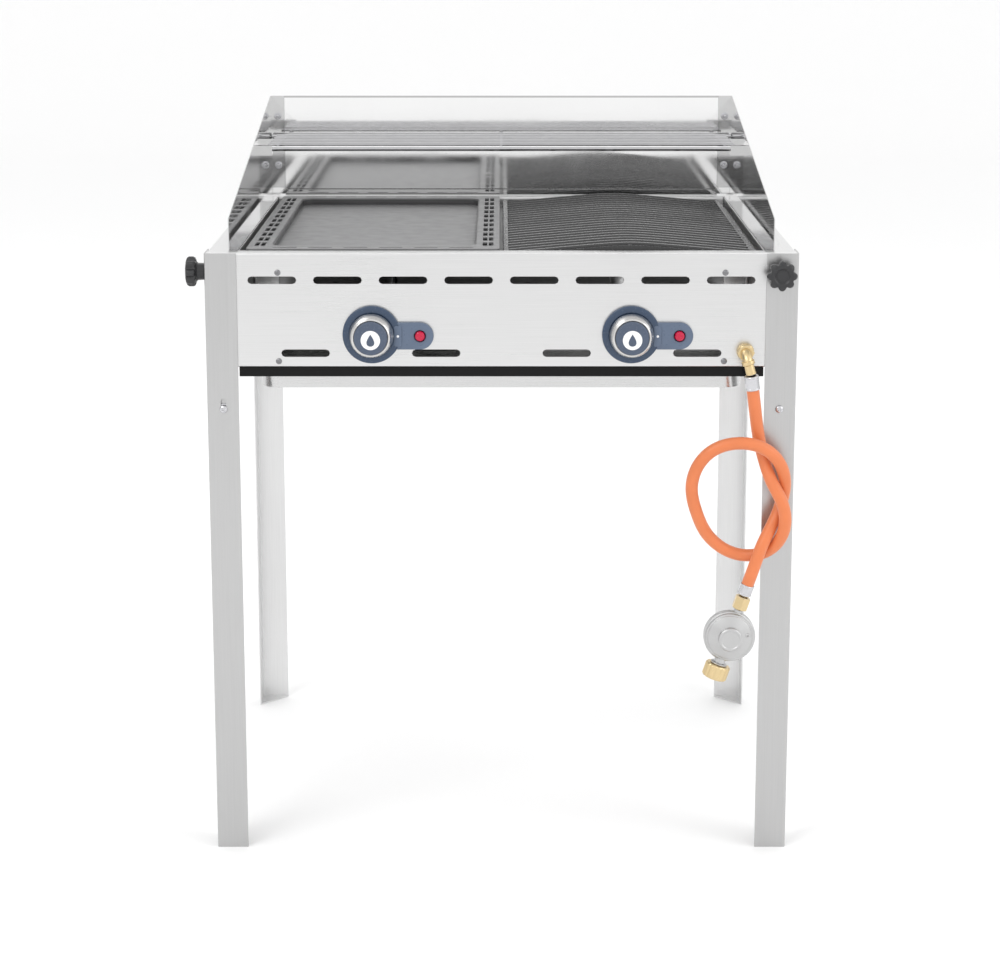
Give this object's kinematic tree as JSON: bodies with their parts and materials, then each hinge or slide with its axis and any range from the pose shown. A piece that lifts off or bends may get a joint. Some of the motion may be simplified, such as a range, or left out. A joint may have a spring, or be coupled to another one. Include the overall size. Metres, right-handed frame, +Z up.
{
  "type": "gas barbecue grill",
  "caption": "Free-standing gas grill with griddle, grill grate, windshield, warming rack, drip tray, knotted gas hose with regulator, and folding angle legs.",
  "frame": {"origin": "on the floor, at the centre of the grill's bounding box, measured without the gas hose and what is on it", "axes": "+Z up, +X to the grill's right as seen by a person facing its knobs, +Y away from that person, so the knobs face -Y"},
  "size_m": [0.693, 0.614, 0.816],
  "materials": {
    "stainless": "brushed stainless sheet, fine vertical grain",
    "polished_stainless": "mirror-polished stainless sheet",
    "chrome_wire": "bright chromed wire",
    "zinc_steel": "bright zinc-plated steel",
    "satin_chrome": "turned satin metal",
    "grey_enamel": "satin dark grey enamel",
    "black_enamel": "glossy black enamel",
    "brass": "bare brass",
    "slate_blue_plastic": "satin slate-blue plastic",
    "red_plastic": "glossy red plastic",
    "black_plastic": "moulded black plastic",
    "orange_rubber": "smooth orange gas hose",
    "cast_alloy": "sand-textured cast alloy"
  },
  "bodies": {
    "housing": {"front_panel": "stainless", "rear_panel": "stainless", "side_panel_left": "stainless", "side_panel_right": "stainless", "centre_rail": "stainless", "burner_left": "stainless", "burner_right": "stainless", "corner_bracket_front_left": "stainless", "corner_bracket_front_right": "stainless", "corner_bracket_rear_left": "stainless", "corner_bracket_rear_right": "stainless", "leg_pivot_screw_front_right": "zinc_steel", "leg_pivot_screw_rear_left": "zinc_steel", "hose_ferrule_upper": "zinc_steel", "hose_ferrule_lower": "zinc_steel", "tray_frame": "black_enamel", "gas_valve_left": "brass", "gas_valve_right": "brass", "gas_inlet_elbow": "brass", "hose_nut": "brass", "knob_bezel_left": "slate_blue_plastic", "knob_bezel_right": "slate_blue_plastic", "igniter_left": "black_plastic", "igniter_right": "black_plastic", "ignition_lead_left": "black_plastic", "ignition_lead_right": "black_plastic", "gas_hose": "orange_rubber", "gas_manifold": "cast_alloy", "regulator_body": "cast_alloy", "regulator_cap": "cast_alloy"},
    "leg_pivot_front_left": {"leg_pivot_screw_front_left": "zinc_steel"},
    "leg_front_left": {"leg_front_left": "stainless"},
    "star_knob_front_left": {"star_knob_front_left": "black_plastic"},
    "leg_front_right": {"leg_front_right": "stainless"},
    "star_knob_front_right": {"star_knob_front_right": "black_plastic"},
    "leg_rear_left": {"leg_rear_left": "stainless"},
    "star_knob_rear_left": {"star_knob_rear_left": "black_plastic"},
    "leg_pivot_rear_right": {"leg_pivot_screw_rear_right": "zinc_steel"},
    "leg_rear_right": {"leg_rear_right": "stainless"},
    "star_knob_rear_right": {"star_knob_rear_right": "black_plastic"},
    "stem_left": {"valve_stem_left": "satin_chrome"},
    "knob_left": {"control_knob_left": "satin_chrome", "knob_cap_left": "slate_blue_plastic"},
    "igniter_button_left": {"igniter_button_left": "red_plastic"},
    "stem_right": {"valve_stem_right": "satin_chrome"},
    "knob_right": {"control_knob_right": "satin_chrome", "knob_cap_right": "slate_blue_plastic"},
    "igniter_button_right": {"igniter_button_right": "red_plastic"},
    "drip_tray": {"drip_tray": "stainless"},
    "griddle": {"griddle_plate": "grey_enamel"},
    "grate": {"grill_grate": "black_enamel"},
    "windshield": {"windshield_left": "polished_stainless", "windshield_right": "polished_stainless", "windshield_back": "polished_stainless", "windshield_bolt_left_lower": "zinc_steel", "windshield_bolt_left_upper": "zinc_steel", "windshield_bolt_right_lower": "zinc_steel", "windshield_bolt_right_upper": "zinc_steel"},
    "warming_rack": {"warming_rack": "chrome_wire"},
    "cylinder_nut": {"cylinder_nut": "brass"}
  },
  "joints": [
    {"name": "leg_fold_front_left", "type": "hinge", "parent": "housing", "child": "leg_pivot_front_left", "pos_m": [-0.307, -0.26615, 0.513], "axis": [0, -1, 0], "range_deg": [0, 90]},
    {"name": "leg_pull_front_left", "type": "slide", "parent": "leg_pivot_front_left", "child": "leg_front_left", "axis": [0, 0, -1], "range_m": [0, 0.009]},
    {"name": "star_knob_turn_front_left", "type": "hinge", "parent": "leg_front_left", "child": "star_knob_front_left", "pos_m": [-0.325, -0.24815, 0.664], "axis": [-1, 0, 0], "continuous": true},
    {"name": "leg_fold_front_right", "type": "hinge", "parent": "housing", "child": "leg_front_right", "pos_m": [0.307, -0.26615, 0.513], "axis": [0, 1, 0], "range_deg": [0, 64]},
    {"name": "star_knob_turn_front_right", "type": "hinge", "parent": "housing", "child": "star_knob_front_right", "pos_m": [0.305, -0.26615, 0.664], "axis": [0, -1, 0], "continuous": true},
    {"name": "leg_fold_rear_left", "type": "hinge", "parent": "housing", "child": "leg_rear_left", "pos_m": [-0.307, 0.27385, 0.513], "axis": [0, -1, 0], "range_deg": [0, 64]},
    {"name": "star_knob_turn_rear_left", "type": "hinge", "parent": "housing", "child": "star_knob_rear_left", "pos_m": [-0.305, 0.27385, 0.664], "axis": [0, 1, 0], "continuous": true},
    {"name": "leg_fold_rear_right", "type": "hinge", "parent": "housing", "child": "leg_pivot_rear_right", "pos_m": [0.307, 0.27385, 0.513], "axis": [0, 1, 0], "range_deg": [0, 90]},
    {"name": "leg_pull_rear_right", "type": "slide", "parent": "leg_pivot_rear_right", "child": "leg_rear_right", "axis": [0, 0, -1], "range_m": [0, 0.009]},
    {"name": "star_knob_turn_rear_right", "type": "hinge", "parent": "leg_rear_right", "child": "star_knob_rear_right", "pos_m": [0.325, 0.25585, 0.664], "axis": [1, 0, 0], "continuous": true},
    {"name": "knob_push_left", "type": "slide", "parent": "housing", "child": "stem_left", "axis": [0, 1, 0], "range_m": [0, 0.003], "stiffness_N_per_m": 900},
    {"name": "knob_turn_left", "type": "hinge", "parent": "stem_left", "child": "knob_left", "pos_m": [-0.1425, -0.26615, 0.5967], "axis": [0, -1, 0], "range_deg": [0, 180]},
    {"name": "igniter_push_left", "type": "slide", "parent": "housing", "child": "igniter_button_left", "axis": [0, 1, 0], "range_m": [0, 0.004], "stiffness_N_per_m": 500},
    {"name": "knob_push_right", "type": "slide", "parent": "housing", "child": "stem_right", "axis": [0, 1, 0], "range_m": [0, 0.003], "stiffness_N_per_m": 900},
    {"name": "knob_turn_right", "type": "hinge", "parent": "stem_right", "child": "knob_right", "pos_m": [0.1425, -0.26615, 0.5967], "axis": [0, -1, 0], "range_deg": [0, 180]},
    {"name": "igniter_push_right", "type": "slide", "parent": "housing", "child": "igniter_button_right", "axis": [0, 1, 0], "range_m": [0, 0.004], "stiffness_N_per_m": 500},
    {"name": "drip_tray_slide", "type": "slide", "parent": "housing", "child": "drip_tray", "axis": [0, 1, 0], "range_m": [0, 0.42]},
    {"name": "griddle_lift", "type": "slide", "parent": "housing", "child": "griddle", "axis": [0, 0, 1], "range_m": [0, 0.055]},
    {"name": "grate_lift", "type": "slide", "parent": "housing", "child": "grate", "axis": [0, 0, 1], "range_m": [0, 0.055]},
    {"name": "windshield_lift", "type": "slide", "parent": "housing", "child": "windshield", "axis": [0, 0, 1], "range_m": [0, 0.12]},
    {"name": "warming_rack_lift", "type": "slide", "parent": "windshield", "child": "warming_rack", "axis": [0, 0, 1], "range_m": [0, 0.04]},
    {"name": "cylinder_nut_turn", "type": "hinge", "parent": "housing", "child": "cylinder_nut", "pos_m": [0.2532, -0.29915, 0.2629], "axis": [0.3201, 0, 0.9474], "continuous": true}
  ]
}
